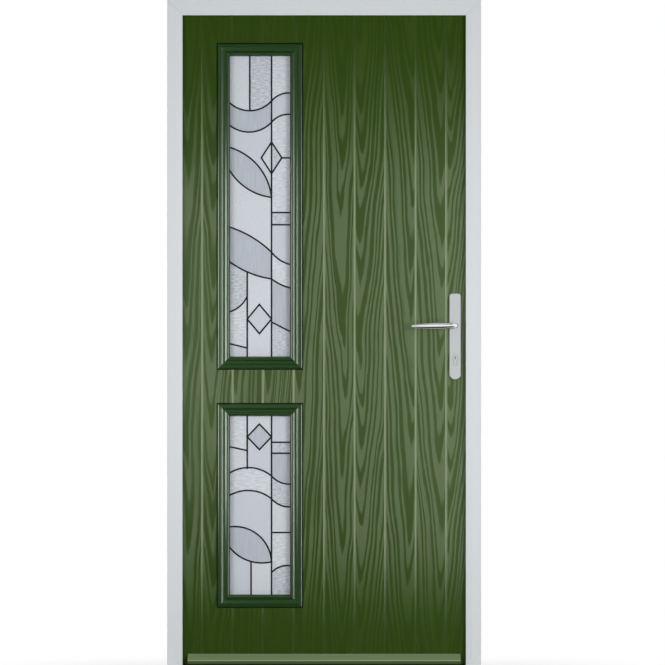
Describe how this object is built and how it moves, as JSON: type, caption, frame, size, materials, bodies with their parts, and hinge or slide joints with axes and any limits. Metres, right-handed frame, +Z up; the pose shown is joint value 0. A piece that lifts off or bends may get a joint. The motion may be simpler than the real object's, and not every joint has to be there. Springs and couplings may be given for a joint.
{
  "type": "panelled front door with frame",
  "caption": "Vertically grooved green front door with leaded lights, a lever handle on a long plate and a weather bar, hung on hinges in a white mitred frame with a threshold.",
  "frame": {"origin": "middle of the threshold's base, halfway through the frame's depth", "axes": "+X right seen from outside, +Y into the house, +Z up"},
  "size_m": [0.98, 0.166, 2.1],
  "materials": {
    "door_green": "woodgrain moulded skin, satin",
    "edge_green": "painted timber edge",
    "foam": "rigid foam",
    "frame_white": "smooth white extrusion",
    "galvanised_steel": "galvanised",
    "aluminium": "mill finish",
    "rubber": "matt black",
    "steel": "bright zinc",
    "hinge_white": "white powder coat",
    "pin_steel": "ground",
    "chrome": "polished",
    "clear_glass": "clear float",
    "textured_glass": "obscure, pale blue grey",
    "lead": "dark patinated lead"
  },
  "bodies": {
    "frame": {"frame_hinge_jamb": "frame_white", "frame_lock_jamb": "frame_white", "frame_head": "frame_white", "frame_steels": "galvanised_steel", "frame_seal": "rubber", "threshold": "aluminium", "threshold_seal": "rubber", "latch_keep": "steel", "hook_keeps": "steel", "frame_screws": "steel", "hinge_pins": "pin_steel", "lower_hinge_frame_leaf": "hinge_white", "middle_hinge_frame_leaf": "hinge_white", "upper_hinge_frame_leaf": "hinge_white"},
    "leaf": {"outer_skin": "door_green", "inner_skin": "door_green", "weather_bar": "door_green", "upper_outer_cassette": "door_green", "upper_inner_cassette": "door_green", "lower_outer_cassette": "door_green", "lower_inner_cassette": "door_green", "hinge_stile": "edge_green", "lock_stile": "edge_green", "top_rail": "edge_green", "bottom_rail": "edge_green", "foam_core": "foam", "lock_case": "galvanised_steel", "hook_cases": "galvanised_steel", "glass_spacers": "aluminium", "glazing_seals": "rubber", "leaf_screws": "steel", "cassette_screws": "steel", "handle_bolts": "steel", "lock_faceplate": "steel", "lower_hinge_door_leaf": "hinge_white", "middle_hinge_door_leaf": "hinge_white", "upper_hinge_door_leaf": "hinge_white", "outer_backplate": "chrome", "inner_backplate": "chrome", "cylinder_body": "chrome", "upper_outer_pane": "clear_glass", "upper_inner_pane": "clear_glass", "lower_outer_pane": "clear_glass", "lower_inner_pane": "clear_glass", "upper_leaded_glass": "textured_glass", "lower_leaded_glass": "textured_glass", "upper_leaded_cames": "lead", "lower_leaded_cames": "lead"},
    "lever": {"outer_lever": "chrome", "inner_lever": "chrome", "spindle": "galvanised_steel", "follower": "galvanised_steel"},
    "latch": {"latch_bolt": "steel"},
    "deadbolt": {"deadbolt": "steel"},
    "drive": {"drive_rods": "galvanised_steel"},
    "upper_hook": {"upper_hook": "steel"},
    "lower_hook": {"lower_hook": "steel"},
    "key_plug": {"key_plug": "chrome"},
    "thumb_turn": {"thumb_turn": "chrome", "cylinder_cam": "steel"}
  },
  "joints": [
    {"name": "leaf_swing", "type": "hinge", "parent": "frame", "child": "leaf", "pos_m": [-0.456, 0.0445, 0], "axis": [0, 0, 1], "range_deg": [0, 100]},
    {"name": "lever_turn", "type": "hinge", "parent": "leaf", "child": "lever", "pos_m": [0.4095, 0.012, 1.083], "axis": [0, -1, 0], "range_deg": [-40, 45], "stiffness_Nm_per_rad": 6, "springref_deg": -3.44},
    {"name": "latch_throw", "type": "slide", "parent": "leaf", "child": "latch", "axis": [1, 0, 0], "range_m": [0, 0.012]},
    {"name": "drive_slide", "type": "slide", "parent": "leaf", "child": "drive", "axis": [0, 0, -1], "range_m": [0, 0.01838]},
    {"name": "deadbolt_throw", "type": "slide", "parent": "leaf", "child": "deadbolt", "axis": [1, 0, 0], "range_m": [0, 0.018]},
    {"name": "upper_hook_turn", "type": "hinge", "parent": "leaf", "child": "upper_hook", "pos_m": [0.4415, 0.012, 1.728], "axis": [0, -1, 0], "range_deg": [0, 90]},
    {"name": "lower_hook_turn", "type": "hinge", "parent": "leaf", "child": "lower_hook", "pos_m": [0.4415, 0.012, 0.438], "axis": [0, -1, 0], "range_deg": [0, 90]},
    {"name": "key_plug_turn", "type": "hinge", "parent": "leaf", "child": "key_plug", "pos_m": [0.4095, 0.012, 0.982], "axis": [0, 1, 0], "continuous": true},
    {"name": "thumb_turn_turn", "type": "hinge", "parent": "leaf", "child": "thumb_turn", "pos_m": [0.4095, 0.012, 0.982], "axis": [0, 1, 0], "continuous": true}
  ],
  "couplings": [
    {"joint": "deadbolt_throw", "follows": "drive_slide", "ratio": 0.979},
    {"joint": "upper_hook_turn", "follows": "drive_slide", "rad_per_m": 85.4},
    {"joint": "lower_hook_turn", "follows": "drive_slide", "rad_per_m": 85.4}
  ]
}
